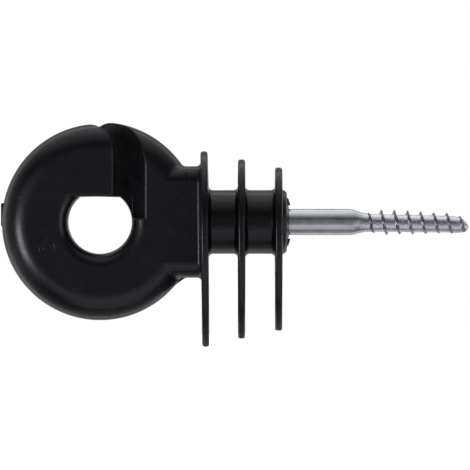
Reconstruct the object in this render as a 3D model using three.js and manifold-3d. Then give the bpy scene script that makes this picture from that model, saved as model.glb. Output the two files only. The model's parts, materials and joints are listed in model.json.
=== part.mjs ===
// Ring insulator for an electric fence, with a wood-screw support.
//
// Two pieces. The body is one moulding: a thick ring that carries the fence rope, a neck block,
// three drip sheds and the round sleeve they stand on. The support is a steel rod with a wood
// thread, moulded into the sleeve and held there by its flattened end.
//
// Frame, in millimetres: the origin is on the rod's axis where the thread starts, which is the
// face of the post once the screw is home. +X runs along the rod to its tip, +Z is up, and Y runs
// through the ring.

import * as THREE from "three";
import { mergeVertices } from "three/addons/utils/BufferGeometryUtils.js";
import Module from "manifold-3d";

const wasm = await Module();
wasm.setup();

// Driving dimensions of the support.
const ROD_RADIUS = 3.0;
const NECKED_SHANK = 1.2; // taper from the rod down to the thread's core
const THREAD_LENGTH = 22.6; // thread start to tip
const THREAD_PITCH = 3.0;
const CREST_RADIUS = 3.05;
const CORE_RADIUS = 1.97;
const THREAD_TURNS = 6; // whole turns of the ridge
const THREAD_START = 0.6;
const THREAD_RUN_OUT = 0.05; // the core is this much thicker where the thread begins
const RIDGE_HALF_WIDTH = 0.55;
const TIP_LENGTH = 4.2; // the core's cone
const ANCHOR_LENGTH = 7.0; // the flattened end inside the neck
const ANCHOR_WIDTH = 8.4;
const ANCHOR_THICKNESS = 3.6;
const MOULDING_GAP = 0.25; // drawn between the steel and the plastic around it

// Driving dimensions of the rope ring.
const RING_TO_POST = 61.8; // ring centre to thread start
const RING_RADIUS = 22.5;
const RING_THICKNESS = 15.0;
const RIM_ROUNDING = 6.3;
const RAISED_STEP = 0.4; // the upper quarter beside the neck stands this much further out
const RAISED_START = 5.73; // above the ring's centre
const RAISED_END = 19.7; // along X from the ring's centre
const HOLE_RADIUS = 7.25;
const LIP_RADIUS = 10.25; // where the hole's rounded lip runs out on the face
const LIP_DEPTH = 3.0;
const HOLE_CEILING = 5.75; // the hole is flat above this height
const GATE_HEIGHT = 0.3;
const GATE_WIDTH = 2.4;
const GATE_LENGTH = 5.2;
const GATE_MIDDLE = 1.7; // above the ring's centre

// Driving dimensions of the diagonal rope slot, which is cut down into the hole from the top.
const SLOT_WIDTH = 7.4; // along X
const SLOT_SHIFT = 13.6; // along X, from the back face to the front face
const SLOT_FLOOR = 0.7;

// Driving dimensions of the neck, sleeve and sheds.
const NECK_END = 23.6; // all three are distances from the ring's centre
const SLEEVE_END = 43.3;
const ANCHOR_START = 15.5;
const NECK_HEIGHT = 25.5;
const NECK_CORNER = 3.6;
const SLEEVE_RADIUS = 7.3;
const BOSS_DOME = 0.5;
const BOSS_ROUNDING = 1.0;
const SHED_COUNT = 3;
const FIRST_SHED = 24.0;
const SHED_SPACING = 8.45;
const SHED_THICKNESS = 1.65;
const FIRST_SHED_HALF_HEIGHT = 22.4;
const SHED_HEIGHT_STEP = 1.85; // each shed's half height is this much less than the one before
const FIRST_SHED_HALF_WIDTH = 15.4;
const SHED_WIDTH_STEP = 1.0; // the same for its half width
const SHED_DROP = 6.2; // the sheds' middles hang this far below the rod's axis
const SHED_WIDEST = -1.85; // the height at which each shed is widest
const SHED_TIP_RADIUS = 1.2;
const SHED_ROUNDING = 0.7;
const GUSSET_THICKNESS = 2.0;
const GUSSET_NECK_END = 19.6; // from the ring's centre, like the next one
const GUSSET_RING_END = 17.4;
const LUG_INNER = 3.8;
const LUG_OUTER = 5.5;
const LUG_WIDTH = 2.6;
const LUG_HEIGHT = 0.35;

const OVERSHOOT = 1.0; // how far a cutting solid runs past what it cuts
const MERGE_DISTANCE = 1e-4;
const ROUND_SEGMENTS = 60;
const SCREW_SEGMENTS = 24;
const ARC_SEGMENTS = 6;
const RIM_SEGMENTS = 4; // on small roundings

const RING_X = -RING_TO_POST;
const HALF_THICKNESS = RING_THICKNESS / 2;
const SLEEVE_END_X = RING_X + SLEEVE_END;

const Y_TO_X = new THREE.Matrix4().makeRotationZ(-Math.PI / 2);
// A shape drawn as (y, z) and extruded along x.
const ACROSS_X = new THREE.Matrix4().makeBasis(
  new THREE.Vector3(0, 1, 0),
  new THREE.Vector3(0, 0, 1),
  new THREE.Vector3(1, 0, 0),
);
// A shape drawn as (z, x) and extruded along y.
const ACROSS_Y = new THREE.Matrix4().makeBasis(
  new THREE.Vector3(0, 0, 1),
  new THREE.Vector3(1, 0, 0),
  new THREE.Vector3(0, 1, 0),
);

// Merges a geometry's shared vertices and drops the triangles that this closes up.
function merged(geometry) {
  geometry.deleteAttribute("normal");
  geometry.deleteAttribute("uv");
  const result = mergeVertices(geometry, MERGE_DISTANCE);
  const index = result.index.array;
  const triangles = [];
  for (let i = 0; i < index.length; i += 3) {
    const [a, b, c] = [index[i], index[i + 1], index[i + 2]];
    if (a !== b && b !== c && c !== a) triangles.push(a, b, c);
  }
  return result.setIndex(triangles);
}

// Turns a closed geometry into a solid that can be joined and cut.
function solid(geometry) {
  const { attributes, index } = merged(geometry);
  return new wasm.Manifold(
    new wasm.Mesh({
      numProp: 3,
      vertProperties: new Float32Array(attributes.position.array),
      triVerts: new Uint32Array(index.array),
    }),
  );
}

// Gives a finished solid back as a named mesh.
function part(name, shape, material) {
  const { vertProperties, triVerts } = shape.getMesh();
  const geometry = new THREE.BufferGeometry();
  geometry.setAttribute("position", new THREE.BufferAttribute(vertProperties, 3));
  geometry.setIndex(new THREE.BufferAttribute(triVerts, 1));
  const mesh = new THREE.Mesh(merged(geometry), material);
  mesh.geometry.computeVertexNormals();
  mesh.name = name;
  return mesh;
}

// A solid of revolution about Y, from [radius, y] points that run from the axis to the axis.
function turned(points, segments = ROUND_SEGMENTS) {
  const profile = points.map(([radius, y]) => new THREE.Vector2(radius, y));
  return new THREE.LatheGeometry(profile, segments);
}

// The same about X, from [radius, x] points.
function turnedAlongX(points, segments = ROUND_SEGMENTS) {
  return turned(points, segments).applyMatrix4(Y_TO_X);
}

// Points of a circular or elliptical arc, with angles in degrees.
function arc(cx, cy, rx, ry, from, to, segments = ARC_SEGMENTS) {
  return Array.from({ length: segments + 1 }, (_, i) => {
    const angle = THREE.MathUtils.degToRad(from + ((to - from) * i) / segments);
    return [cx + rx * Math.cos(angle), cy + ry * Math.sin(angle)];
  });
}

function polygon(points) {
  return new THREE.Shape(points.map(([a, b]) => new THREE.Vector2(a, b)));
}

// The ring's blank: a thick disc with a fully rounded rim.
function ringBlank(radius = RING_RADIUS) {
  const flat = radius - RIM_ROUNDING;
  const band = HALF_THICKNESS - RIM_ROUNDING;
  return turned([
    [0, -HALF_THICKNESS],
    ...arc(flat, -band, RIM_ROUNDING, RIM_ROUNDING, -90, 0),
    ...arc(flat, band, RIM_ROUNDING, RIM_ROUNDING, 0, 90),
    [0, HALF_THICKNESS],
  ]).translate(RING_X, 0, 0);
}

// The quarter of the ring above the neck and right of the slot, which stands a little further out.
function raisedQuarter() {
  const y = HALF_THICKNESS + OVERSHOOT;
  const slotMiddle = (SLOT_SHIFT / RING_THICKNESS) * y;
  const plan = polygon([[slotMiddle, -y], [RAISED_END, -y], [RAISED_END, y], [-slotMiddle, y]]);
  const quarter = new THREE.ExtrudeGeometry(plan, { depth: RING_RADIUS, bevelEnabled: false })
    .translate(RING_X, 0, RAISED_START);
  return solid(ringBlank(RING_RADIUS + RAISED_STEP)).intersect(solid(quarter));
}

// The block that joins the ring to the first shed, a rounded rectangle across the rod.
function neckBlock() {
  const y = HALF_THICKNESS - NECK_CORNER;
  const z = NECK_HEIGHT / 2 - NECK_CORNER;
  const corner = (cy, cz, from) => arc(cy, cz, NECK_CORNER, NECK_CORNER, from, from + 90);
  const section = polygon([
    ...corner(y, -z, -90),
    ...corner(y, z, 0),
    ...corner(-y, z, 90),
    ...corner(-y, -z, 180),
  ]);
  return new THREE.ExtrudeGeometry(section, { depth: NECK_END, bevelEnabled: false })
    .applyMatrix4(ACROSS_X)
    .translate(RING_X, 0, 0);
}

// The thin web that stiffens the corner under the neck. Its sloping edge runs from the ring's rim
// to the underside of the neck.
function gusset() {
  const root = OVERSHOOT - NECK_HEIGHT / 2;
  const outline = polygon([
    [root, RING_X + GUSSET_RING_END - 2 * OVERSHOOT],
    [root, RING_X + GUSSET_NECK_END],
    [-NECK_HEIGHT / 2, RING_X + GUSSET_NECK_END],
    [-Math.sqrt(RING_RADIUS ** 2 - GUSSET_RING_END ** 2), RING_X + GUSSET_RING_END],
  ]);
  return new THREE.ExtrudeGeometry(outline, { depth: GUSSET_THICKNESS, bevelEnabled: false })
    .applyMatrix4(ACROSS_Y)
    .translate(0, -GUSSET_THICKNESS / 2, 0);
}

// The trimmed gate, a low pad left on the rim where the plastic entered the mould.
function gatePad() {
  const depth = RIM_ROUNDING / 2;
  return new THREE.BoxGeometry(depth, GATE_WIDTH, GATE_LENGTH)
    .translate(RING_X - RING_RADIUS - GATE_HEIGHT + depth / 2, 0, GATE_MIDDLE);
}

// The round sleeve over the rod, with a softly domed end.
function sleeve() {
  const shoulder = SLEEVE_END_X - BOSS_DOME - BOSS_ROUNDING;
  return turnedAlongX([
    [0, RING_X + ANCHOR_START],
    [SLEEVE_RADIUS, RING_X + ANCHOR_START],
    ...arc(SLEEVE_RADIUS - BOSS_ROUNDING, shoulder, BOSS_ROUNDING, BOSS_ROUNDING, 0, 90, RIM_SEGMENTS),
    [0, SLEEVE_END_X],
  ]);
}

// One drip shed: a thin plate with a rounded rim and the outline of a drop, across the rod. It is
// a half ellipse on top, a flat arc down each side, and a small arc at the tip that both touch.
function shed(number) {
  const height = FIRST_SHED_HALF_HEIGHT - number * SHED_HEIGHT_STEP;
  const width = FIRST_SHED_HALF_WIDTH - number * SHED_WIDTH_STEP;
  const crown = height - SHED_DROP - SHED_WIDEST;
  const tip = SHED_TIP_RADIUS;
  const tipMiddle = tip - height - SHED_DROP;
  const fall = SHED_WIDEST - tipMiddle;
  const side = (width ** 2 + fall ** 2 - tip ** 2) / (2 * (width - tip));
  const turn = THREE.MathUtils.radToDeg(Math.asin(fall / (side - tip)));
  const outline = polygon([
    ...arc(0, SHED_WIDEST, width, crown, 0, 180, 4 * ARC_SEGMENTS).slice(1),
    ...arc(side - width, SHED_WIDEST, side, side, 180, 180 + turn, 2 * ARC_SEGMENTS).slice(1),
    ...arc(0, tipMiddle, tip, tip, 180 + turn, 360 - turn).slice(1),
    ...arc(width - side, SHED_WIDEST, side, side, 360 - turn, 360, 2 * ARC_SEGMENTS).slice(1),
  ]);
  const depth = SHED_THICKNESS - 2 * SHED_ROUNDING;
  return new THREE.ExtrudeGeometry(outline, {
    depth,
    bevelThickness: SHED_ROUNDING,
    bevelSize: SHED_ROUNDING,
    bevelOffset: -SHED_ROUNDING,
    bevelSegments: RIM_SEGMENTS - 1,
  })
    .applyMatrix4(ACROSS_X)
    .translate(RING_X + FIRST_SHED + number * SHED_SPACING - depth / 2, 0, 0);
}

// The two small lugs on the sleeve's end, above and below the rod.
function lug(side) {
  const middle = (side * (LUG_INNER + LUG_OUTER)) / 2;
  const depth = BOSS_DOME + BOSS_ROUNDING + LUG_HEIGHT;
  return new THREE.BoxGeometry(depth, LUG_WIDTH, LUG_OUTER - LUG_INNER)
    .translate(SLEEVE_END_X + LUG_HEIGHT - depth / 2, 0, middle);
}

// The rope hole: round with trumpet lips, and flat across the top.
function ropeHole() {
  const lip = LIP_RADIUS - HOLE_RADIUS;
  const throat = HALF_THICKNESS - LIP_DEPTH;
  const trumpet = turned([
    [0, -HALF_THICKNESS - OVERSHOOT],
    [LIP_RADIUS, -HALF_THICKNESS - OVERSHOOT],
    ...arc(LIP_RADIUS, -throat, lip, LIP_DEPTH, 270, 180),
    ...arc(LIP_RADIUS, throat, lip, LIP_DEPTH, 180, 90),
    [LIP_RADIUS, HALF_THICKNESS + OVERSHOOT],
    [0, HALF_THICKNESS + OVERSHOOT],
  ]).translate(RING_X, 0, 0);
  const reach = LIP_RADIUS + OVERSHOOT;
  const below = new THREE.BoxGeometry(2 * reach, RING_THICKNESS + 4 * OVERSHOOT, 2 * reach)
    .translate(RING_X, 0, HOLE_CEILING - reach);
  return solid(trumpet).intersect(solid(below));
}

// The slanted band that opens the ring at the top, so the rope can be turned in.
function ropeSlot() {
  const reach = HALF_THICKNESS + OVERSHOOT;
  const shift = (SLOT_SHIFT / RING_THICKNESS) * reach;
  const half = SLOT_WIDTH / 2;
  const band = polygon([
    [shift - half, -reach],
    [shift + half, -reach],
    [half - shift, reach],
    [-half - shift, reach],
  ]);
  const depth = RING_RADIUS + OVERSHOOT - SLOT_FLOOR;
  return new THREE.ExtrudeGeometry(band, { depth, bevelEnabled: false })
    .translate(RING_X, 0, SLOT_FLOOR);
}

// The rod's flattened end, which keeps it from turning or pulling out.
function anchor(gap) {
  return new THREE.BoxGeometry(
    ANCHOR_LENGTH + gap,
    ANCHOR_THICKNESS + 2 * gap,
    ANCHOR_WIDTH + 2 * gap,
  ).translate(RING_X + ANCHOR_START + (ANCHOR_LENGTH + gap) / 2 - gap, 0, 0);
}

// The space that the rod and its flattened end fill inside the moulding.
function rodBore() {
  const start = RING_X + ANCHOR_START + ANCHOR_LENGTH / 2;
  const radius = ROD_RADIUS + MOULDING_GAP;
  const bore = turnedAlongX([
    [0, start],
    [radius, start],
    [radius, SLEEVE_END_X + OVERSHOOT],
    [0, SLEEVE_END_X + OVERSHOOT],
  ]);
  return solid(bore).add(solid(anchor(MOULDING_GAP)));
}

function insulatorBody() {
  let body = solid(ringBlank());
  body = body.add(raisedQuarter());
  body = body.add(solid(neckBlock()));
  body = body.add(solid(gusset()));
  body = body.add(solid(gatePad()));
  body = body.add(solid(sleeve()));
  for (let number = 0; number < SHED_COUNT; number += 1) body = body.add(solid(shed(number)));
  for (const side of [-1, 1]) body = body.add(solid(lug(side)));
  body = body.subtract(ropeHole());
  body = body.subtract(solid(ropeSlot()));
  return body.subtract(rodBore());
}

// The rod and its thread as one closed surface, from rings of points round the rod. The thread's
// rows climb a right-hand helix, so a row that has gone once round meets the row one pitch on.
// Each turn has three rows: the ridge's near foot, its crest and its far foot.
function threadedRod() {
  const positions = [];
  const index = [];
  const point = (column, x, radius) => {
    const angle = (2 * Math.PI * column) / SCREW_SEGMENTS;
    positions.push(x, -radius * Math.sin(angle), radius * Math.cos(angle));
    return positions.length / 3 - 1;
  };
  const columns = Array.from({ length: SCREW_SEGMENTS }, (_, column) => column);
  const ring = (x, radius) => columns.map((column) => point(column, x, radius));
  const fan = (hub, edge) => {
    for (let i = 0; i + 1 < edge.length; i += 1) index.push(hub, edge[i], edge[i + 1]);
  };
  const strip = (near, far) => {
    for (let i = 0; i + 1 < near.length; i += 1) {
      index.push(near[i], near[i + 1], far[i + 1], near[i], far[i + 1], far[i]);
    }
  };
  const closed = (loop) => [...loop, loop[0]];

  const rows = [];
  for (let row = 0; row < 3 * (THREAD_TURNS + 1) + 1; row += 1) {
    const place = row % 3;
    rows.push(columns.map((column) => {
      const turn = Math.floor(row / 3) + column / SCREW_SEGMENTS;
      const x = THREAD_START + turn * THREAD_PITCH + place * RIDGE_HALF_WIDTH;
      const exit = Math.min(1, (THREAD_LENGTH - x) / TIP_LENGTH);
      const core = CORE_RADIUS * exit;
      const stand = (CREST_RADIUS - CORE_RADIUS) * Math.min(1, 0.1 + turn) * Math.sqrt(exit);
      return point(column, x, place === 1 ? core + stand : core);
    }));
  }
  const lastRow = 3 * THREAD_TURNS;
  const climbing = (row) => [...rows[row], rows[row + 3][0]];
  for (let row = 0; row < lastRow; row += 1) strip(climbing(row), climbing(row + 1));

  const innerEnd = RING_X + ANCHOR_START + ANCHOR_LENGTH / 2;
  const inner = closed(ring(innerEnd, ROD_RADIUS));
  const shoulder = closed(ring(-NECKED_SHANK, ROD_RADIUS));
  const neck = closed(ring(0, CORE_RADIUS + THREAD_RUN_OUT));
  fan(point(0, innerEnd, 0), [...inner].reverse());
  strip(inner, shoulder);
  strip(shoulder, neck);
  strip(neck, climbing(0));
  fan(neck[0], [rows[0][0], rows[1][0], rows[2][0], rows[3][0]]);
  const tail = [rows[lastRow + 2][0], rows[lastRow + 1][0], rows[lastRow][0]];
  fan(point(0, THREAD_LENGTH, 0), [...climbing(lastRow), ...tail]);

  const geometry = new THREE.BufferGeometry();
  geometry.setAttribute("position", new THREE.Float32BufferAttribute(positions, 3));
  return geometry.setIndex(index);
}

function woodScrew() {
  return solid(threadedRod()).add(solid(anchor(0)));
}

const blackPlastic = new THREE.MeshStandardMaterial({
  color: 0x1b1b1d,
  roughness: 0.42,
  metalness: 0.0,
});
const zincPlatedSteel = new THREE.MeshStandardMaterial({
  color: 0xb4b8bf,
  roughness: 0.34,
  metalness: 1.0,
});

const ringInsulator = new THREE.Group();
ringInsulator.add(part("insulator_body", insulatorBody(), blackPlastic));
ringInsulator.add(part("wood_screw", woodScrew(), zincPlatedSteel));

export default ringInsulator;
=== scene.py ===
"""A screw-in ring insulator for an electric fence rope, finished for rendering."""

import json
import math

import bpy
import numpy as np
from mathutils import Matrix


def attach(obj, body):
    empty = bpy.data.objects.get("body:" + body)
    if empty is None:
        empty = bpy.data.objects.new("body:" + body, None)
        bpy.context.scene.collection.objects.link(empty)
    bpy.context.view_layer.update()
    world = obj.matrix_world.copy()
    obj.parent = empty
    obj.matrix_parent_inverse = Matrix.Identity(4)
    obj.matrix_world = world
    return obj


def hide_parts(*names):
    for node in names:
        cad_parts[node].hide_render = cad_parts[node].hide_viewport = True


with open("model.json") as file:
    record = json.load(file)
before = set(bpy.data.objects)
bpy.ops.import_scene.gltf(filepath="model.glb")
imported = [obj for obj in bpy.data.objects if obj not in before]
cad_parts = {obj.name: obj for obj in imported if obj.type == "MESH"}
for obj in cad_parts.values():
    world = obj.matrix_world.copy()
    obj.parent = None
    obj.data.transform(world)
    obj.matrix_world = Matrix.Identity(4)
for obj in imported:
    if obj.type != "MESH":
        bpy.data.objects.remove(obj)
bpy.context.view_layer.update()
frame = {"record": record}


# ---------------------------------------------------------------------------------------------
# Screw. One steel rod, flattened at its hidden end so that it can't turn in the plastic, with a
# coarse wood thread rolled on the other end, then bright zinc plated. It goes into the mould first.
# ---------------------------------------------------------------------------------------------

MM = 0.001
MOUNTS = {mount["name"]: mount for mount in frame["record"]["mounts"]}
RING_X = MOUNTS["ring_back_face"]["pos_m"][0] / MM

# All in mm. Along the screw, places are measured from the post's face.
ROD_RADIUS = 3.0
ANCHOR_START = 15.5  # from the ring's centre
ANCHOR_LENGTH = 7.0
ANCHOR_FLAT = 3.2  # fully flattened over this much of its length
ANCHOR_HALF_WIDTH = 4.2
ANCHOR_HALF_THICK = 1.8
ANCHOR_CORNER = 3.2  # the power of the flat's superellipse
ANCHOR_STATIONS = (0, 0, 0.15, 0.5, 3.2, 3.8, 4.4, 5.0, 5.6, 6.2, 7.0)
ANCHOR_SIZES = (0, 0.8, 0.93, 1, 1, 1, 1, 1, 1, 1, 1)
SHANK_END = -5.2
SHANK_ROWS = 40
THREAD_PITCH = 3.0
FIRST_CREST = -0.53
FIRST_TURN, TURNS_END = -3, 10
THREAD_SWAY = 0.2  # how far the crooked thread leans along the rod, each way
THREAD_COLUMNS = 96
THREAD_SAMPLES = 24
SAMPLE_CROWDING = 1.8  # the power that draws the samples towards the crest
RIDGE_HALF_WIDTH = 0.46
RIDGE_POWER = 1.2
CREST_BLUNTING = 0.03
CREST_WAVER = 0.08
CREST_WAVES = ((2.3, 0), (3.7, 1), (0.61, 2))  # each wave's rate per radian of winding, its start
CREST_LIFT = 0.26  # the thread's outside sits this much higher than its core
TIP_START = 18.9
TIP_POWER = 2.3
SCREW_END = 22.6
CORE_STATIONS = (-5.2, -4.6, -3.9, -3.2, -2.4, -1.6, -0.8, 0.5, 18.7)
CORE_RADII = (3.0, 2.99, 2.9, 2.7, 2.44, 2.24, 2.12, 2.04, 1.89)
CREST_STATIONS = (-1.4, -0.1, 1.4, 2.8, 4.3, 5.7, 8.7, 11.7, 14.7, 16.2, 17.6, 19.0, 21.0, 22.2)
CREST_RISES = (0.0, 0.2, 0.75, 0.92, 1.08, 0.95, 0.84, 0.72, 0.5, 0.55, 0.55, 0.48, 0.3, 0.0)
DROOP_STATIONS = (-5.2, 0.0, 18.7, 21.0, 22.6)
DROOP = (0.0, -0.2, -0.52, -0.8, -1.2)
MERGE_DISTANCE = 0.0002
MERGE_OFFSET = 0.137  # keeps whole sizes away from where the rounding changes


def skin_between(rows, columns):
    """Quads over a grid of points kept row by row, between each row and the next and round from
    the last column to the first."""
    row, column = np.meshgrid(np.arange(rows - 1), np.arange(columns), indexing="ij")
    beside = (column + 1) % columns
    here, there = row * columns, (row + 1) * columns
    quads = np.stack([here + column, there + column, there + beside, here + beside], axis=-1)
    return quads.reshape(-1, 4)


def merged(points, faces):
    """Makes points that coincide one, and drops the corners and the faces that this empties."""
    place = np.round(points / MERGE_DISTANCE + MERGE_OFFSET).astype(np.int64)
    _, first, number = np.unique(place, axis=0, return_index=True, return_inverse=True)
    kept = [list(dict.fromkeys(face)) for face in number.reshape(-1)[faces].tolist()]
    return points[first], [face for face in kept if len(face) > 2]


def new_mesh(name, points, faces, normals=None):
    """Makes a smooth-shaded object from points in metres and faces, with the given normals at its
    points where there are any."""
    mesh = bpy.data.meshes.new(name)
    mesh.from_pydata(points, [], faces)
    mesh.shade_smooth()
    if normals is not None:
        mesh.normals_split_custom_set_from_vertices(normals)
    piece = bpy.data.objects.new(name, mesh)
    bpy.context.scene.collection.objects.link(piece)
    return piece


def belongs(piece, node):
    """Puts a piece on the root body in place of a CAD node, which it hides."""
    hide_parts(node)
    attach(piece, "root")


def linear(code):
    """An sRGB colour code as linear red, green, blue and alpha."""
    shares = [int(code[start:start + 2], 16) / 255 for start in (1, 3, 5)]
    curve = [s / 12.92 if s <= 0.04045 else ((s + 0.055) / 1.055) ** 2.4 for s in shares]
    return (*curve, 1.0)


def add(tree, kind, inputs=None, stops=(), **settings):
    """Adds a node with its settings and links. An input takes a value, another node's output, or
    a node itself for its first output; a colour ramp takes stops of (place, linear colour)."""
    made = tree.nodes.new(kind)
    for name, value in settings.items():
        setattr(made, name, value)
    for name, value in (inputs or {}).items():
        if isinstance(value, bpy.types.Node):
            value = value.outputs[0]
        if isinstance(value, bpy.types.NodeSocket):
            tree.links.new(value, made.inputs[name])
        else:
            made.inputs[name].default_value = value
    while stops and len(made.color_ramp.elements) < len(stops):
        made.color_ramp.elements.new(0.5)
    for number, (place, colour) in enumerate(stops):
        made.color_ramp.elements[number].position = place
        made.color_ramp.elements[number].color = colour
    return made


def new_material(name):
    """A material with an empty Principled shader on its output."""
    material = bpy.data.materials.new(name)
    material.use_nodes = True
    tree = material.node_tree
    return material, tree, tree.nodes["Principled BSDF"]


# The zinc's finish: sizes in mm, and colours of the shank by the cloud's strength and of the
# thread by the distance from its crest in pitches, its flanks painted darker as painted shade.
CLOUD_SIZE = 2.6
KNOCK_SIZE = 0.55
KNOCK_DEPTH = 0.15
SHANK_KNOCKS = 0.08  # the share of the knocks that shows on the plain shank
DRAWN_LINE = (9.0, 0.22, 0.22)  # length along the rod, and spacing both ways across it
DRAWN_DEPTH = 0.008
ROLLED_SPAN = (-2.4, -0.4)  # where the drawn finish gives way to the rolled one
BURNISH = 0.08  # how much smoother the rolled thread is
SHANK_GREYS = ((0.3, "#c8ccd4"), (0.5, "#d6dae1"), (0.72, "#e0e3e9"))
# Painted shade: from 0.02 to 0.085 pitches off the crest, these greys darken the thread's flanks.
THREAD_GREYS_WITH_PAINTED_SHADE = ((0.0, "#c9cedb"), (0.02, "#7f8597"), (0.085, "#717789"), (0.135, "#e9edf8"))


def off_crest(tree, axes):
    """How far a point of the thread lies from the nearest crest, in pitches. The crest lies where
    (x - first crest - sway * cos(angle)) / pitch - angle / (2 * pi) is a whole number."""
    x, y, z = (axes.outputs[name] for name in "XYZ")
    core_drop = add(tree, "ShaderNodeMapRange", {
        "Value": x, "From Max": DROOP_STATIONS[2] * MM, "To Min": -DROOP[1] * MM, "To Max": -DROOP[2] * MM,
    })
    up = add(tree, "ShaderNodeMath", {0: z, 1: core_drop}, operation="ADD")
    front = add(tree, "ShaderNodeMath", {0: y, 1: -1.0}, operation="MULTIPLY")
    angle = add(tree, "ShaderNodeMath", {0: front, 1: up}, operation="ARCTAN2")
    cosine = add(tree, "ShaderNodeMath", {0: angle}, operation="COSINE")
    sway = add(tree, "ShaderNodeMath", {0: cosine, 1: THREAD_SWAY * MM}, operation="MULTIPLY")
    past_first = add(tree, "ShaderNodeMath", {0: x, 1: FIRST_CREST * MM}, operation="SUBTRACT")
    along = add(tree, "ShaderNodeMath", {0: past_first, 1: sway}, operation="SUBTRACT")
    pitches = add(tree, "ShaderNodeMath", {0: along, 1: THREAD_PITCH * MM}, operation="DIVIDE")
    turned = add(tree, "ShaderNodeMath", {0: angle, 1: 2 * math.pi}, operation="DIVIDE")
    phase = add(tree, "ShaderNodeMath", {0: pitches, 1: turned}, operation="SUBTRACT")
    return add(tree, "ShaderNodeMath", {0: phase, 1: 0.5}, operation="PINGPONG")


def zinc_plate():
    """Bright zinc on drawn steel wire. The wire was drawn through a die, which left fine lines
    along it; the thread was rolled, which left its core crumpled; the plating went on in a
    barrel, so it is bright but faintly clouded. The thread's flanks are painted dark as painted
    shade. The eye sees a silvery grey rod with soft reflections drawn out along it, and ridges
    with painted-shade flanks wound round a glittering core."""
    material, tree, shader = new_material("zinc_plate")
    place = add(tree, "ShaderNodeTexCoord").outputs["Object"]
    axes = add(tree, "ShaderNodeSeparateXYZ", {"Vector": place})
    rolled = add(tree, "ShaderNodeMapRange", {
        "Value": axes.outputs["X"], "From Min": ROLLED_SPAN[0] * MM, "From Max": ROLLED_SPAN[1] * MM,
        "To Min": 0.0, "To Max": 1.0,
    })
    cloud = add(tree, "ShaderNodeTexNoise", {
        "Vector": place, "Scale": 1 / (CLOUD_SIZE * MM), "Detail": 4.0, "Roughness": 0.6,
    })
    stops = [(spot, linear(code)) for spot, code in SHANK_GREYS]
    shank = add(tree, "ShaderNodeValToRGB", {"Fac": cloud}, stops)
    # The thread's greys paint its flanks darker than its crest and core: painted shade.
    stops = [(spot, linear(code)) for spot, code in THREAD_GREYS_WITH_PAINTED_SHADE]
    thread = add(tree, "ShaderNodeValToRGB", {"Fac": off_crest(tree, axes)}, stops)
    colour = add(tree, "ShaderNodeMix", {0: rolled, 6: shank, 7: thread}, data_type="RGBA")
    tree.links.new(colour.outputs[2], shader.inputs["Base Color"])
    shader.inputs["Metallic"].default_value = 1.0
    gloss = add(tree, "ShaderNodeMapRange", {
        "Value": cloud, "From Min": 0.3, "From Max": 0.7, "To Min": 0.21, "To Max": 0.31,
    })
    smoother = add(tree, "ShaderNodeMath", {0: rolled, 1: BURNISH}, operation="MULTIPLY")
    burnished = add(tree, "ShaderNodeMath", {0: gloss, 1: smoother}, operation="SUBTRACT")
    tree.links.new(burnished.outputs[0], shader.inputs["Roughness"])
    knocks = add(tree, "ShaderNodeTexNoise", {
        "Vector": place, "Scale": 1 / (KNOCK_SIZE * MM), "Detail": 3.0, "Roughness": 0.6,
    })
    knock_share = add(tree, "ShaderNodeMapRange", {"Value": rolled, "To Min": SHANK_KNOCKS, "To Max": 1.0})
    knocked = add(tree, "ShaderNodeBump", {
        "Height": knocks, "Strength": knock_share.outputs[0], "Distance": KNOCK_DEPTH * MM,
    })
    stretched = tuple(1 / (length * MM) for length in DRAWN_LINE)
    along = add(tree, "ShaderNodeMapping", {"Vector": place, "Scale": stretched})
    lines = add(tree, "ShaderNodeTexNoise", {"Vector": along, "Scale": 1.0, "Detail": 3.0})
    drawn = add(tree, "ShaderNodeBump", {
        "Height": lines, "Strength": 0.5, "Distance": DRAWN_DEPTH * MM, "Normal": knocked,
    })
    tree.links.new(drawn.outputs[0], shader.inputs["Normal"])
    return material


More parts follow.
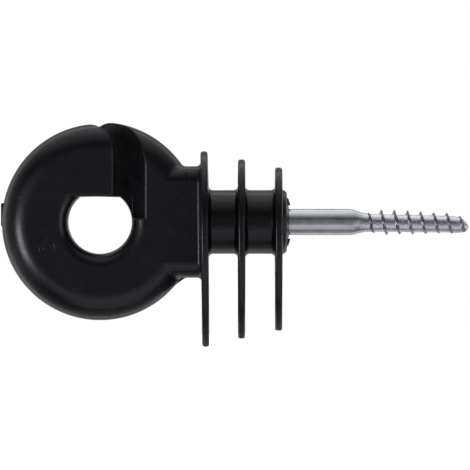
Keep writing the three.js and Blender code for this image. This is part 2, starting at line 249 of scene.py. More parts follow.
def make_screw():
    """The flattened end and the shank are sections along the rod. The threaded end is one sheet
    wound round it like a ribbon: a row starts at turn t and goes once round, moving along by one
    pitch, so its end is the start of the row one turn on. With d the distance from the crest,
    the radius is core(x) + rise(x) * max(0, 1 - hypot(d, blunting) / half width) ** power."""
    columns = THREAD_COLUMNS
    angle = 2 * np.pi * np.arange(columns) / columns

    # Sections of the flattened end: superellipses that turn into the round rod.
    anchor_x = RING_X + ANCHOR_START
    stations = np.array(ANCHOR_STATIONS) + anchor_x
    shrink = np.array(ANCHOR_SIZES)
    round_share = np.clip((stations - anchor_x - ANCHOR_FLAT) / (ANCHOR_LENGTH - ANCHOR_FLAT), 0, 1)
    round_share = round_share * round_share * (3 - 2 * round_share)
    wide = (ANCHOR_HALF_WIDTH + (ROD_RADIUS - ANCHOR_HALF_WIDTH) * round_share) * shrink
    thick = (ANCHOR_HALF_THICK + (ROD_RADIUS - ANCHOR_HALF_THICK) * round_share) * shrink
    power = 2 / (ANCHOR_CORNER + (2 - ANCHOR_CORNER) * round_share)[:, None]
    sine, cosine = np.sin(angle), np.cos(angle)
    side = -thick[:, None] * np.sign(sine) * np.abs(sine) ** power
    up = wide[:, None] * np.sign(cosine) * np.abs(cosine) ** power
    flat_end = np.stack([stations[:, None] + 0 * side, side, up], axis=-1)

    # The plain shank.
    shank_x = np.linspace(anchor_x + ANCHOR_LENGTH, SHANK_END, SHANK_ROWS)[:, None]
    shank = np.stack(np.broadcast_arrays(shank_x, -ROD_RADIUS * sine, ROD_RADIUS * cosine), axis=-1)

    # The wound sheet. The samples across one turn are closest at the crest.
    sample = np.linspace(-1, 1, THREAD_SAMPLES + 1)[:-1]
    sample = np.sign(sample) * np.abs(sample) ** SAMPLE_CROWDING / 2
    turns = np.arange(FIRST_TURN, TURNS_END)
    turn = (turns[:, None] + sample).reshape(-1)
    across = np.tile(sample, len(turns))[:, None] * THREAD_PITCH
    round_share = np.arange(columns + 1) / columns
    wound = 2 * np.pi * (turn[:, None] + round_share)
    x = FIRST_CREST + THREAD_PITCH * (turn[:, None] + round_share) + THREAD_SWAY * np.cos(wound)
    x = np.clip(x, SHANK_END, SCREW_END)
    core = np.interp(x, CORE_STATIONS, CORE_RADII)
    rounding = np.clip((x - TIP_START) / (SCREW_END - TIP_START), 0, 1)
    core = core * np.sqrt(1 - rounding**TIP_POWER)
    rise = np.interp(x, CREST_STATIONS, CREST_RISES)
    waver = sum(np.sin(rate * wound + start) for rate, start in CREST_WAVES)
    fade = np.clip(rise / CREST_LIFT / 2, 0, 1)
    rise = rise * (1 + CREST_WAVER * waver / 2) + CREST_LIFT * fade * np.cos(wound)
    ridge = np.clip(1 - np.hypot(across, CREST_BLUNTING) / RIDGE_HALF_WIDTH, 0, None) ** RIDGE_POWER
    radius = core + rise * ridge
    around = 2 * np.pi * (np.arange(columns + 1) % columns) / columns
    droop = np.interp(x, DROOP_STATIONS, DROOP)
    thread = np.stack([x, -radius * np.sin(around), radius * np.cos(around) + droop], axis=-1)

    upper = np.concatenate([flat_end, shank])
    upper_faces = skin_between(len(upper), columns)
    rows, wide_columns = thread.shape[:2]
    row, column = np.meshgrid(np.arange(rows - 1), np.arange(columns), indexing="ij")
    corner = row * wide_columns + column
    below = corner + wide_columns
    lower_faces = np.stack([corner, below, below + 1, corner + 1], axis=-1)
    lower_faces = lower_faces.reshape(-1, 4) + len(upper) * columns
    points = np.concatenate([upper.reshape(-1, 3), thread.reshape(-1, 3)])
    points, faces = merged(points, np.concatenate([upper_faces, lower_faces]))
    return new_mesh("screw", points * MM, faces)


screw = make_screw()
screw.data.materials.append(zinc_plate())
belongs(screw, "wood_screw")


# ---------------------------------------------------------------------------------------------
# Ring head. A thick ring, a neck block and a corner web in one lump of black polypropylene,
# injection moulded with the other plastic parts round the steel. The rope lies in the hole and is
# turned in through the diagonal slot at the top.
# ---------------------------------------------------------------------------------------------

HALF_THICK = MOUNTS["ring_back_face"]["pos_m"][1] / MM

# All in mm. Places are measured from the ring's centre.
RING_RADIUS = 22.5
RIM_ROUND = 6.3
RAISED_STEP = 0.4  # the quarter above the neck was moulded by a block set this much further out
RAISED_START = 5.73
RAISED_END = 19.7
RAISED_EDGE = 0.12
HOLE_RADIUS = 7.27
HOLE_DRAFT = 0.08
LIP_ROUND = 3.2
HOLE_CEILING = 5.7
CEILING_DRAFT = 0.15
CEILING_ROUND = 0.6
SLOT_HALF = 3.7
SLOT_SLANT = 13.6 / 15.0
SLOT_FLOOR = 0.7
EDGE_ROUND = 0.3
NECK_HALF = 12.75
NECK_ROUND = 3.9
NECK_FILLET = 0.7
FILLET_FADE = 2.0
WEB_HALF = 1.0
WEB_NECK_END = 19.6
WEB_RING_END = 17.4
GATE_HEIGHT = 0.22
GATE_HALF_WIDTH = 1.2
GATE_HALF_LENGTH = 2.6
GATE_MIDDLE = 1.7
BORE_GAP = 0.02
FIRST_SHED = 24.0
SHED_LEAN = 0.009  # the first shed is pulled out of square by this much, in mm per mm
SHED_DROP = 6.2
SHED_ROOT_HALF = 0.9
SHED_FILLET = 1.1
FLARE_BURIED = 0.12  # of the flare's arc, hidden inside the shed
LEAST_FADE = 0.01
HEAD_CELL = 0.19
HEAD_TRIANGLES = 180_000
SLOPE_STEP = 0.01
LEAST_SLOPE = 0.05  # squared; keeps a step finite where the distance is level


def rounded_meet(a, b, radius):
    """Distance to what lies inside both of two surfaces, from the distances to each: the larger
    of the two, with an arc of the given radius where they cross."""
    a = a + radius
    b = b + radius
    return np.minimum(np.maximum(a, b), 0) + np.hypot(np.maximum(a, 0), np.maximum(b, 0)) - radius


def blended_join(a, b, width):
    """Distance to what lies inside either of two surfaces: the smaller of the two, eased by a
    parabola where they differ by less than `width`."""
    share = np.clip(1 - np.abs(a - b) / width, 0, 1)
    return np.minimum(a, b) - share**2 * width / 4


def head_distance(x, y, z):
    """Distance in mm from points to the head's skin, below nought inside. Each form is its
    outline in the ring's plane met with the ring's two faces by an arc; the forms are joined with
    fillets, and then the hole, the slot and the steel's space are taken out."""
    away = np.hypot(x, z)
    depth = np.abs(y)
    face = depth - HALF_THICK
    raised = np.minimum(np.minimum(x + SLOT_SLANT * y, RAISED_END - x), z - RAISED_START)
    raised = np.clip(raised / RAISED_EDGE, 0, 1)
    ring = rounded_meet(away - RING_RADIUS - RAISED_STEP * raised, face, RIM_ROUND)
    neck = rounded_meet(np.maximum(np.abs(z) - NECK_HALF, -x), face, NECK_ROUND)
    fade = np.clip(-face / FILLET_FADE, LEAST_FADE, 1)
    head = blended_join(ring, neck, NECK_FILLET * fade)

    # The web under the neck ends along the line from the neck to the rim.
    run = WEB_NECK_END - WEB_RING_END
    fall = math.sqrt(RING_RADIUS**2 - WEB_RING_END**2) - NECK_HALF
    web = ((x - WEB_NECK_END) * fall - (z + NECK_HALF) * run) / math.hypot(run, fall)
    for bound in (RING_RADIUS / 2 - x, x - FIRST_SHED, z, depth - WEB_HALF):
        web = np.maximum(web, bound)
    head = blended_join(head, web, EDGE_ROUND)

    # The pad where the plastic came in.
    pad = np.maximum(-RING_RADIUS - GATE_HEIGHT - x, x + RING_RADIUS - RIM_ROUND / 2)
    for bound in (np.abs(z - GATE_MIDDLE) - GATE_HALF_LENGTH, depth - GATE_HALF_WIDTH):
        pad = np.maximum(pad, bound)
    head = blended_join(head, pad, GATE_HEIGHT)

    # The flare where the neck meets the first shed, an arc about the shed's leaning face.
    shed_face = FIRST_SHED - SHED_ROOT_HALF + FLARE_BURIED - SHED_LEAN * (z + SHED_DROP)
    into = np.clip(x - shed_face + SHED_FILLET, 0, SHED_FILLET - FLARE_BURIED / 2)
    head = head - (SHED_FILLET - np.sqrt(SHED_FILLET**2 - into**2))
    head = np.maximum(head, x - FIRST_SHED)

    # The hole: drafted from both faces to its middle, with round lips, and flat-topped.
    wide = away - HOLE_DRAFT * depth / HALF_THICK
    reach = np.maximum(HOLE_RADIUS + LIP_ROUND - wide, 0)
    rise = np.maximum(face + LIP_ROUND, 0)
    hole = np.hypot(reach, rise) - LIP_ROUND - np.maximum(wide - HOLE_RADIUS - LIP_ROUND, 0)
    ceiling = HOLE_CEILING + CEILING_DRAFT * depth / HALF_THICK - z
    under = rounded_meet(head, ceiling, CEILING_ROUND)
    head = np.minimum(np.maximum(head, hole), under)

    # The slot: a slanted band open to the top, down to its floor.
    band = (SLOT_HALF - np.abs(x + SLOT_SLANT * y)) / math.hypot(1, SLOT_SLANT)
    slot = blended_join(band, z - SLOT_FLOOR, EDGE_ROUND)
    head = rounded_meet(head, slot, EDGE_ROUND)

    # The space that the rod and its flattened end fill.
    rod = np.maximum(np.hypot(y, z) - ROD_RADIUS - BORE_GAP, ANCHOR_START + ANCHOR_LENGTH / 2 - x)
    flat = np.maximum(depth - ANCHOR_HALF_THICK, np.abs(z) - ANCHOR_HALF_WIDTH)
    flat = np.maximum(flat, np.abs(x - ANCHOR_START - ANCHOR_LENGTH / 2) - ANCHOR_LENGTH / 2)
    return np.maximum(head, -np.minimum(rod, flat))


def slope_of(distance, points):
    """The gradient of a distance function at points, by central differences."""
    gradient = np.empty_like(points)
    for axis in range(3):
        shift = np.zeros(3)
        shift[axis] = SLOPE_STEP
        gradient[:, axis] = distance(*(points + shift).T) - distance(*(points - shift).T)
    return gradient / (2 * SLOPE_STEP)


def settle(distance, points, rounds=4, reach=0.3):
    """Moves points down or up the slope of a distance function until they lie on its skin."""
    for _ in range(rounds):
        gradient = slope_of(distance, points)
        length = np.maximum((gradient**2).sum(axis=1), LEAST_SLOPE)
        move = np.clip(distance(*points.T) / length, -reach, reach)
        points = points - gradient * move[:, None]
    return points


def skin_of(distance, low, high, cell):
    """The skin of a solid given by its distance function. Space is cut into cubic cells; each
    cell that the skin crosses gets one point, the mean of where the skin crosses its edges, and
    each grid edge that the skin crosses gets one quad, between the four cells round it."""
    axes = [np.arange(a - cell, b + 2 * cell, cell, dtype=np.float32) for a, b in zip(low, high)]
    grid = np.meshgrid(*axes, indexing="ij", sparse=True)
    value = distance(*grid).astype(np.float32)
    inside = value < 0

    # Sums over each cell's twelve edges of where the skin crosses them.
    cells = tuple(size - 1 for size in value.shape)
    total = np.zeros(cells + (3,), dtype=np.float32)
    count = np.zeros(cells, dtype=np.float32)
    crossings = []
    for axis in range(3):
        start = [slice(None)] * 3
        end = [slice(None)] * 3
        start[axis] = slice(0, -1)
        end[axis] = slice(1, None)
        here, there = value[tuple(start)], value[tuple(end)]
        crossed = inside[tuple(start)] != inside[tuple(end)]
        crossings.append((crossed, inside[tuple(start)]))
        part = np.where(crossed, here / np.where(crossed, here - there, 1), 0)
        others = [other for other in range(3) if other != axis]
        for first in (0, 1):
            for second in (0, 1):
                pick = [slice(None)] * 3
                pick[others[0]] = slice(first, first + cells[others[0]])
                pick[others[1]] = slice(second, second + cells[others[1]])
                hit = crossed[tuple(pick)]
                count += hit
                total[..., axis] += part[tuple(pick)]
                total[..., others[0]] += first * hit
                total[..., others[1]] += second * hit

    used = count > 0
    number = np.full(cells, -1, dtype=np.int64)
    number[used] = np.arange(used.sum())
    corner = np.argwhere(used)
    points = (corner + total[used] / count[used][:, None]) * cell
    points += np.array([axis[0] for axis in axes])

    quads = []
    for axis in range(3):
        crossed, starts_inside = crossings[axis]
        one, two = [other for other in range(3) if other != axis]
        place = np.argwhere(crossed)
        back_one = np.zeros(3, dtype=int)
        back_two = np.zeros(3, dtype=int)
        back_one[one] = 1
        back_two[two] = 1
        around = (place, place - back_one, place - back_one - back_two, place - back_two)
        quad = np.stack([number[tuple(spot.T)] for spot in around], axis=1)
        outward = starts_inside[crossed] == (axis != 1)
        quad[outward] = quad[outward][:, ::-1]
        quads.append(quad[:, ::-1])
    return points, np.concatenate(quads)


def from_ring(points):
    """Points in mm from the ring's centre, as points in metres in the frame."""
    return (points + np.array([RING_X, 0, 0])) * MM


def make_head():
    """The head's skin, thinned where it is flat and then laid back on the exact surface."""
    reach = RING_RADIUS + GATE_HEIGHT
    thick = HALF_THICK + SHED_FILLET
    low = (-reach, -thick, -reach)
    high = (FIRST_SHED, thick, reach)
    points, quads = skin_of(head_distance, low, high, HEAD_CELL)
    points = settle(head_distance, points)
    rough = new_mesh("head_draft", points, quads.tolist())
    thin = rough.modifiers.new("thin", "DECIMATE")
    thin.ratio = HEAD_TRIANGLES / (2 * len(quads))
    thinned = rough.evaluated_get(bpy.context.evaluated_depsgraph_get()).to_mesh()
    points = np.empty(3 * len(thinned.vertices))
    thinned.vertices.foreach_get("co", points)
    thinned.calc_loop_triangles()
    triangles = np.empty(3 * len(thinned.loop_triangles), dtype=np.int32)
    thinned.loop_triangles.foreach_get("vertices", triangles)
    bpy.data.objects.remove(rough)
    points = settle(head_distance, points.reshape(-1, 3), rounds=1, reach=0.05)
    normals = slope_of(head_distance, points)
    normals /= np.linalg.norm(normals, axis=1, keepdims=True)
    return new_mesh("ring_head", from_ring(points), triangles.reshape(-1, 3).tolist(), normals)


# The plastic's finish: sizes in mm, and colours by the flow's strength.
GRAIN_SIZE = 0.45
GRAIN_DEPTH = 0.008
SINK_SIZE = 7.0
SINK_DEPTH = 0.05
FLOW_SIZE = 3.2
FLOW_BLACKS = ((0.3, "#070709"), (0.7, "#0a0a0e"))
SHEEN_TINT = "#f6f4ff"


def black_plastic():
    """Polypropylene with carbon black. It was injected into a fine-blasted mould, which left a low
    orange-peel grain; the skin sank a little as it cooled, and flow left the gloss uneven. The eye
    sees deep neutral black with a soft satin sheen on every rounding."""
    material, tree, shader = new_material("black_plastic")
    place = add(tree, "ShaderNodeTexCoord").outputs["Object"]
    grain = add(tree, "ShaderNodeTexNoise", {
        "Vector": place, "Scale": 1 / (GRAIN_SIZE * MM), "Detail": 3.0, "Roughness": 0.55,
    })
    sink = add(tree, "ShaderNodeTexNoise", {"Vector": place, "Scale": 1 / (SINK_SIZE * MM), "Detail": 2.0})
    flow = add(tree, "ShaderNodeTexNoise", {
        "Vector": place, "Scale": 1 / (FLOW_SIZE * MM), "Detail": 5.0, "Roughness": 0.65, "Distortion": 0.6,
    })
    stops = [(spot, linear(code)) for spot, code in FLOW_BLACKS]
    colour = add(tree, "ShaderNodeValToRGB", {"Fac": flow}, stops)
    tree.links.new(colour.outputs[0], shader.inputs["Base Color"])
    gloss = add(tree, "ShaderNodeMapRange", {
        "Value": flow, "From Min": 0.3, "From Max": 0.7, "To Min": 0.23, "To Max": 0.32,
    })
    tree.links.new(gloss.outputs[0], shader.inputs["Roughness"])
    shader.inputs["IOR"].default_value = 1.5
    shader.inputs["Specular Tint"].default_value = linear(SHEEN_TINT)
    sunk = add(tree, "ShaderNodeBump", {"Height": sink, "Strength": 1.0, "Distance": SINK_DEPTH * MM})
    grained = add(tree, "ShaderNodeBump", {
        "Height": grain, "Strength": 0.5, "Distance": GRAIN_DEPTH * MM, "Normal": sunk,
    })
    tree.links.new(grained.outputs[0], shader.inputs["Normal"])
    return material


plastic = black_plastic()
ring_head = make_head()
ring_head.data.materials.append(plastic)
belongs(ring_head, "insulator_body")


# ---------------------------------------------------------------------------------------------
# Mould marks. Thin raised lines where the blocks of the mould met, two raised rings and two short
# bars. All are the head's own black polypropylene, moulded with it, and stand just above its skin.
# ---------------------------------------------------------------------------------------------

# All in mm. Places and paths are (across, up) from the ring's centre, and the sizes of the bolder
# marks are half their width and their height.
LINE_HALF_WIDTH = 0.12
LINE_HEIGHT = 0.07
LINE_TAPER = 0.5
LINE_STEP = 0.12
LINE_SIDES = 8
FRONT, BACK = -HALF_THICK, HALF_THICK
WITNESS_HEIGHT = 5.73
WITNESS_START, WITNESS_END = -20.3, 15.6
WITNESS_GAPS = (("front", FRONT, -8.6, 11.2), ("back", BACK, -11.2, 8.6))
SLOT_EDGE_START = 6.0
SLOT_EDGE_TURN = 65.0  # in degrees of the rim's rounding
SLOT_EDGE_SIZE = (0.2, 0.2)
RISER_BOW = ((17.7, 5.9), (19.5, 6.4), (19.6, 9.0))
RISER_TOP = ((19.7, 10.5), (19.7, 12.7))
RISER_SIZE = (0.18, 0.16)
SLOT_LINE = ((7.5, 1.8), (7.5, 6.2))
SLOT_LINE_DEPTH = -4.2
SLOT_LINE_SIZE = (0.12, 0.1)
RING_MARK = (-12.0, -5.84)
RING_MARK_RADIUS = 1.77
RING_MARK_SIZE = (0.17, 0.14)
RING_MARK_POINTS = 72
INNER_MARK_SHARE = 0.55
INNER_MARK_SIZE = (0.14, 0.1)
UPPER_BAR = ((16.6, 1.5), (18.9, 1.5))
LOWER_BAR = ((15.7, -2.3), (18.8, -2.3))
BAR_SIZE = (0.18, 0.16)
CURVE_POINTS = 24


def make_bead(name, path, depth, half_width=LINE_HALF_WIDTH, height=LINE_HEIGHT, closed=False):
    """A thin raised line: an ellipse carried along a path laid on the head's skin, its short axis
    square to the skin. Both ends taper to nothing as sqrt(distance / taper)."""
    across, up = np.array(path, dtype=float).T
    path = np.stack(np.broadcast_arrays(across, depth, up), axis=-1)
    lengths = np.append(0, np.cumsum(np.linalg.norm(np.diff(path, axis=0), axis=1)))
    steps = int(lengths[-1] / LINE_STEP) + 2
    along = np.linspace(0, lengths[-1], steps)
    spine = np.stack([np.interp(along, lengths, place) for place in path.T], axis=-1)
    spine = settle(head_distance, spine, rounds=6)
    outward = slope_of(head_distance, spine)
    outward /= np.linalg.norm(outward, axis=1, keepdims=True)
    forward = np.gradient(spine, axis=0)
    if closed:
        forward[0] = forward[-1] = spine[1] - spine[-2]
    sideways = np.cross(forward, outward)
    sideways /= np.linalg.norm(sideways, axis=1, keepdims=True)
    size = np.ones(steps)
    if not closed:
        size = np.sqrt(np.clip(np.minimum(along, lengths[-1] - along) / LINE_TAPER, 0, 1))
    angle = 2 * np.pi * np.arange(LINE_SIDES) / LINE_SIDES
    wide = (half_width * size)[:, None, None] * np.cos(angle)[:, None] * sideways[:, None]
    tall = (height * size)[:, None, None] * np.sin(angle)[:, None] * outward[:, None]
    points = (spine[:, None] + wide + tall).reshape(-1, 3)
    points, faces = merged(points, skin_between(steps, LINE_SIDES)[:, ::-1])
    bead = new_mesh(name, from_ring(points), faces)
    bead.data.materials.append(plastic)
    belongs(bead, "insulator_body")


def bow(start, middle, end):
    """Points on the curve (1 - s)^2 start + 2 s (1 - s) middle + s^2 end, which leaves its start
    towards the middle place and comes to its end from there."""
    share = np.linspace(0, 1, CURVE_POINTS)[:, None]
    start, middle, end = (np.array(spot) for spot in (start, middle, end))
    return (1 - share) ** 2 * start + 2 * share * (1 - share) * middle + share**2 * end


# The slot's left edge at the front: up the flat face, then over the rim's rounding.
tilt = np.radians(np.append(0, np.linspace(0, SLOT_EDGE_TURN, CURVE_POINTS)))
edge_depth = RIM_ROUND * (1 - np.cos(tilt)) - HALF_THICK
edge_across = -SLOT_HALF - SLOT_SLANT * edge_depth
edge_up = np.sqrt((RING_RADIUS - RIM_ROUND * (1 - np.sin(tilt))) ** 2 - edge_across**2)
edge_up[0] = SLOT_EDGE_START
make_bead("slot_edge", np.stack([edge_across, edge_up], axis=1), edge_depth, *SLOT_EDGE_SIZE)

# The line across each face stops on both sides of the slot and then climbs the neck.
riser = np.concatenate([bow(*RISER_BOW), RISER_TOP])
for side, depth, gap_start, gap_end in WITNESS_GAPS:
    left = [(WITNESS_START, WITNESS_HEIGHT), (gap_start, WITNESS_HEIGHT)]
    right = [(gap_end, WITNESS_HEIGHT), (WITNESS_END, WITNESS_HEIGHT)]
    make_bead("line_" + side + "_left", left, depth)
    make_bead("line_" + side + "_right", right, depth)
    make_bead("riser_" + side, riser, depth, *RISER_SIZE)
make_bead("slot_line", SLOT_LINE, SLOT_LINE_DEPTH, *SLOT_LINE_SIZE)

angle = np.linspace(0, 2 * np.pi, RING_MARK_POINTS)
circle = np.stack([np.cos(angle), np.sin(angle)], axis=1) * RING_MARK_RADIUS
make_bead("ring_mark", circle + RING_MARK, FRONT, *RING_MARK_SIZE, closed=True)
make_bead("inner_mark", circle * INNER_MARK_SHARE + RING_MARK, FRONT, *INNER_MARK_SIZE, closed=True)
make_bead("upper_bar", UPPER_BAR, FRONT, *BAR_SIZE)
make_bead("lower_bar", LOWER_BAR, FRONT, *BAR_SIZE)


# ---------------------------------------------------------------------------------------------
# Stem. The sleeve round the steel with its three drip sheds, in the same black polypropylene and
# the same moulding as the head, which it joins inside the first shed. The sheds keep running rain
# from carrying the fence's voltage across to the screw.
# ---------------------------------------------------------------------------------------------

# All in mm. Places along the stem are measured from the ring's centre.
SLEEVE_RADIUS = 7.3
SHED_PLACES = (24.0, 32.4, 40.9)
SHED_HALF_HEIGHTS = (22.4, 20.55, 18.7)
SHED_HALF_WIDTHS = (15.4, 14.4, 13.4)
SHED_LEANS = (SHED_LEAN, 0.0, 0.0)
SHED_WIDEST = -1.85  # the height at which each shed is widest
SHED_TIP = 1.2  # the radius of the drop's lower end
SHED_RIM_HALF = 0.83
SHED_CORNER = 0.55
SLEEVE_FILLET = 0.95
LAST_FILLET = 0.3
BOSS_END = 42.8
BOSS_ROUND = 1.0
BOSS_TURN = 12.0  # degrees from the stem's direction at which the rounding meets the dome
BOSS_DOME = 43.3
DOME_POWER = 1.3
DOME_ROWS = 12
DOME_START = 0.04
BORE_MOUTH = 0.1
STEM_COLUMNS = 192
ARC_STEPS = 9
FACE_SHARES = (0.01, 0.03, 0.3, 0.6, 0.9, 0.98)
LUG_INNER = 3.8
LUG_OUTER = 5.5
LUG_HALF_WIDTH = 1.3
LUG_TOP = 43.65
LUG_FALL = 0.3
LUG_CORNER = 0.5  # the power of the oblong's rounded corners
LUG_COLUMNS = 48
LUG_HEIGHTS = (-1.2, -0.15, -0.1, -0.05, -0.02, 0, 0, 0)
LUG_SIZES = (1, 1, 0.99, 0.96, 0.9, 0.8, 0.4, 0)


def arc(centre_x, centre_r, radius, start, end):
    """Places (along, radius) on an arc, angles in degrees from the stem's direction."""
    angle = np.radians(np.linspace(start, end, ARC_STEPS))
    return np.stack([centre_x + radius * np.cos(angle), centre_r + radius * np.sin(angle)], axis=1)


def circles(places, angle):
    """Rows of circles about the axis, from places (along, radius)."""
    along, radius = np.array(places, dtype=float).T[:, :, None]
    rows = (along, -radius * np.sin(angle), radius * np.cos(angle))
    return np.stack(np.broadcast_arrays(*rows), axis=-1)


def drops(places, half_height, half_width, lean, angle):
    """Rows of a shed's drop-shaped outline, from places (along, inset). Each point is where the
    outline faces `angle` from straight up. The crown is the half ellipse (w^2 sin / r, t^2 cos / r)
    with w and t its half width and height and r = hypot(w sin, t cos). Each side under it is a
    flat arc (w - radius + radius sin, radius cos) down to the small arc of the tip."""
    along, inset = np.array(places, dtype=float).T[:, :, None]
    sine, cosine = np.abs(np.sin(angle)), np.cos(angle)
    tall = half_height - SHED_DROP - SHED_WIDEST
    reach = np.hypot(half_width * sine, tall * cosine)
    tip_up = SHED_TIP - half_height - SHED_DROP
    fall = SHED_WIDEST - tip_up
    flank = (half_width**2 + fall**2 - SHED_TIP**2) / (2 * (half_width - SHED_TIP))
    where = [cosine > 0, cosine < -fall / (flank - SHED_TIP)]
    crown = (half_width**2 * sine / reach, SHED_WIDEST + tall**2 * cosine / reach)
    tip = (SHED_TIP * sine, tip_up + SHED_TIP * cosine)
    below = (half_width - flank + flank * sine, SHED_WIDEST + flank * cosine)
    wide, up = (np.select(where, choices[:2], choices[2]) for choices in zip(crown, tip, below))
    side = np.sign(np.sin(angle)) * (inset * sine - wide)
    up = up - inset * cosine
    return np.stack([along - lean * (up + SHED_DROP), side, up], axis=-1)


def face_between(first, last):
    """Rows of a flat face, at shares of the way from the first row to the last."""
    return first + (last - first) * np.array(FACE_SHARES)[:, None, None]


def make_stem():
    """Rows of points round one closed outline: along the sleeve, out over each shed and in again,
    over the end, and back through the bore."""
    angle = 2 * np.pi * np.arange(STEM_COLUMNS) / STEM_COLUMNS
    bore = ROD_RADIUS + BORE_GAP
    start = SHED_PLACES[0] - SHED_ROOT_HALF
    sheets = [circles([(start, bore), (start, SLEEVE_RADIUS)], angle)]
    for place, height, width, lean in zip(SHED_PLACES, SHED_HALF_HEIGHTS, SHED_HALF_WIDTHS, SHED_LEANS):
        left, right = place - SHED_ROOT_HALF, place + SHED_ROOT_HALF
        if place != SHED_PLACES[0]:
            centre = (left - SLEEVE_FILLET, SLEEVE_RADIUS + SLEEVE_FILLET)
            sheets.append(circles(arc(*centre, SLEEVE_FILLET, 270, 360), angle))
        rim = [arc(place - SHED_RIM_HALF + SHED_CORNER, SHED_CORNER, SHED_CORNER, 180, 270)]
        rim.append(arc(place + SHED_RIM_HALF - SHED_CORNER, SHED_CORNER, SHED_CORNER, 270, 360))
        rim = drops(np.concatenate(rim), height, width, lean, angle)
        fillet = LAST_FILLET if place == SHED_PLACES[-1] else SLEEVE_FILLET
        root = circles(arc(right + fillet, SLEEVE_RADIUS + fillet, fillet, 180, 270), angle)
        outward = face_between(sheets[-1][-1:], rim[:1])
        inward = face_between(root[:1], rim[-1:])[::-1]
        sheets += [outward, rim, inward, root]
    edge = SLEEVE_RADIUS - BOSS_ROUND
    sheets.append(circles(arc(BOSS_END - BOSS_ROUND, edge, BOSS_ROUND, 90, BOSS_TURN), angle))
    share = np.linspace(DOME_START, 1, DOME_ROWS)
    shoulder = BOSS_END - BOSS_ROUND + BOSS_ROUND * math.cos(math.radians(BOSS_TURN))
    dome = shoulder + (BOSS_DOME - shoulder) * share**DOME_POWER
    sheets.append(circles(np.stack([dome, edge + (bore - edge) * share], axis=1), angle))
    sheets.append(circles([(BOSS_DOME - BORE_MOUTH, bore), (start, bore)], angle))
    rows = np.concatenate(sheets)
    points, faces = merged(rows.reshape(-1, 3), skin_between(len(rows), STEM_COLUMNS))
    return new_mesh("stem", from_ring(points), faces)


def make_lug(name, side):
    """A low lug on the stem's end: rounded oblongs, sign(sin) |sin|^power wide and the same of the
    cosine high, stacked up from inside the end. Its top falls away from the steel."""
    angle = 2 * np.pi * np.arange(LUG_COLUMNS) / LUG_COLUMNS
    sine, cosine = np.sin(angle), np.cos(angle)
    middle = side * (LUG_OUTER + LUG_INNER) / 2
    across = LUG_HALF_WIDTH * np.sign(sine) * np.abs(sine) ** LUG_CORNER
    up = (LUG_OUTER - LUG_INNER) / 2 * np.sign(cosine) * np.abs(cosine) ** LUG_CORNER
    height = np.array(LUG_HEIGHTS)[:, None]
    size = np.array(LUG_SIZES)[:, None]
    tall = LUG_TOP + height - LUG_FALL * (1 + up * size)
    points = np.stack([tall, across * size, middle + side * up * size], axis=-1)
    floor = points[:1] * (1, 0, 0) + (0, 0, middle)
    points = np.concatenate([floor, points]).reshape(-1, 3)
    faces = skin_between(len(height) + 1, LUG_COLUMNS)
    points, faces = merged(points, faces if side < 0 else faces[:, ::-1])
    lug = new_mesh(name, from_ring(points), faces)
    lug.data.materials.append(plastic)
    belongs(lug, "insulator_body")


stem = make_stem()
stem.data.materials.append(plastic)
belongs(stem, "insulator_body")
make_lug("upper_lug", 1)
make_lug("lower_lug", -1)


# ---------------------------------------------------------------------------------------------
# Studio. A surround that looks white, a white floor, and four soft boxes in front: a bright one
# and a wide faint one to the left, one to the right and one below. They put soft highlights on
# the roundings of the black plastic and long bands on the steel.
# ---------------------------------------------------------------------------------------------

scene = bpy.context.scene
scene.view_settings.view_transform = "Standard"

# How bright the surround is in each direction: one part by how far back it lies and one by how
# far up, both from -1 to 1, and the two are added.
BACKWARD = (
    (-1, 0.0), (-0.35, 0.0), (0, 0.12), (0.2, 0.27), (0.4, 0.2), (0.55, 1.1), (0.7, 0.5), (0.8, 0.05),
    (0.9, 0.36), (0.97, 0.1), (1, 0.9),
)
UPWARD = (
    (-1, 0.1), (-0.95, 0.0), (-0.7, 0.0), (-0.5, 0.3), (-0.3, 0.36), (-0.15, 0.08), (0, 0.19),
    (0.15, 0.22), (0.4, 0.04), (0.7, 0.12), (0.85, 0.46), (0.95, 0.46), (1, 0.86),
)
FLOOR_DROP = 60.0
FLOOR_SIZE = 6000.0
FLOOR_WHITE = "#f4f4f4"
BOX_DISTANCE = 600.0

# Each soft box: degrees to the right of the camera and up, width and height in mm, radiance.
SOFT_BOXES = {
    "left_box": (-46, -10, 195, 195, 7.2),
    "left_fill": (-42, 2, 420, 480, 0.25),
    "right_box": (58, -6, 240, 480, 1.0),
    "low_box": (12, -51, 620, 460, 0.5),
}


def make_surround():
    """The studio round the object: its brightness by direction, and plain white where it is seen."""
    world = bpy.data.worlds.new("studio")
    world.use_nodes = True
    scene.world = world
    tree = world.node_tree
    tree.nodes.clear()
    place = add(tree, "ShaderNodeTexCoord").outputs["Generated"]
    axes = add(tree, "ShaderNodeSeparateXYZ", {"Vector": place})
    sides = []
    for axis, stops in (("Y", BACKWARD), ("Z", UPWARD)):
        share = add(tree, "ShaderNodeMapRange", {"Value": axes.outputs[axis], "From Min": -1.0})
        greys = [((spot + 1) / 2, (grey, grey, grey, 1)) for spot, grey in stops]
        sides.append(add(tree, "ShaderNodeValToRGB", {"Fac": share}, greys))
    both = add(
        tree, "ShaderNodeMix", {0: 1.0, 6: sides[0], 7: sides[1]},
        data_type="RGBA", blend_type="ADD", clamp_result=False,
    )
    lit = add(tree, "ShaderNodeBackground", {"Color": both.outputs[2], "Strength": 1.0})
    seen = add(tree, "ShaderNodeBackground", {"Color": (1, 1, 1, 1), "Strength": 1.0})
    path = add(tree, "ShaderNodeLightPath")
    mixed = add(tree, "ShaderNodeMixShader", {0: path.outputs["Is Camera Ray"], 1: lit, 2: seen})
    add(tree, "ShaderNodeOutputWorld", {"Surface": mixed})


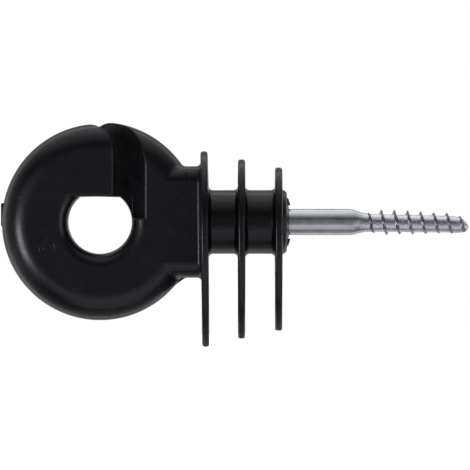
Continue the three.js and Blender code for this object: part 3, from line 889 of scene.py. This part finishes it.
def make_soft_box(name, right, up, width, height, radiance):
    """A soft box that faces the ring. A flat light of one radiance gives pi * radiance * area."""
    light = bpy.data.lights.new(name, "AREA")
    light.shape = "RECTANGLE"
    light.size = width * MM
    light.size_y = height * MM
    light.energy = math.pi * radiance * light.size * light.size_y
    box = bpy.data.objects.new(name, light)
    scene.collection.objects.link(box)
    right, up = math.radians(right), math.radians(up)
    level = math.cos(up)
    toward = np.array([math.sin(right) * level, -math.cos(right) * level, math.sin(up)])
    box.location = from_ring(toward * BOX_DISTANCE)
    box.rotation_euler = (math.pi / 2 - up, 0, right)


def make_floor():
    """A plain white floor that throws no shadow, so that the low box shines through it."""
    half = FLOOR_SIZE / 2
    points = np.array([(-half, -half, 0), (half, -half, 0), (half, half, 0), (-half, half, 0)])
    floor = new_mesh("floor", from_ring(points - (0, 0, FLOOR_DROP)), [(0, 1, 2, 3)])
    material, _, shader = new_material("floor_white")
    shader.inputs["Base Color"].default_value = linear(FLOOR_WHITE)
    shader.inputs["Roughness"].default_value = 0.9
    shader.inputs["Emission Color"].default_value = (1, 1, 1, 1)
    shader.inputs["Emission Strength"].default_value = 1.0
    floor.data.materials.append(material)
    floor.visible_glossy = False
    floor.visible_shadow = False


make_surround()
for name, box in SOFT_BOXES.items():
    make_soft_box(name, *box)
make_floor()


# ---------------------------------------------------------------------------------------------
# Camera. A long lens, level and square to the ring, far enough away that the sheds are seen
# nearly edge on.
# ---------------------------------------------------------------------------------------------

# All in mm, and the centre is (across, up) from the ring's centre.
VIEW_WIDTH = 107.7
VIEW_CENTRE = (30.9, -2.98)
VIEW_DISTANCE = 2000.0
SENSOR_WIDTH = 36.0
NEAREST, FURTHEST = 10.0, 20000.0
camera_data = bpy.data.cameras.new("camera")
camera = bpy.data.objects.new("camera", camera_data)
scene.collection.objects.link(camera)
scene.camera = camera
camera_data.sensor_width = SENSOR_WIDTH
camera_data.lens = SENSOR_WIDTH * VIEW_DISTANCE / VIEW_WIDTH
camera_data.clip_start = NEAREST * MM
camera_data.clip_end = FURTHEST * MM
camera.location = from_ring(np.array([VIEW_CENTRE[0], -VIEW_DISTANCE, VIEW_CENTRE[1]]))
camera.rotation_euler = (math.pi / 2, 0, 0)
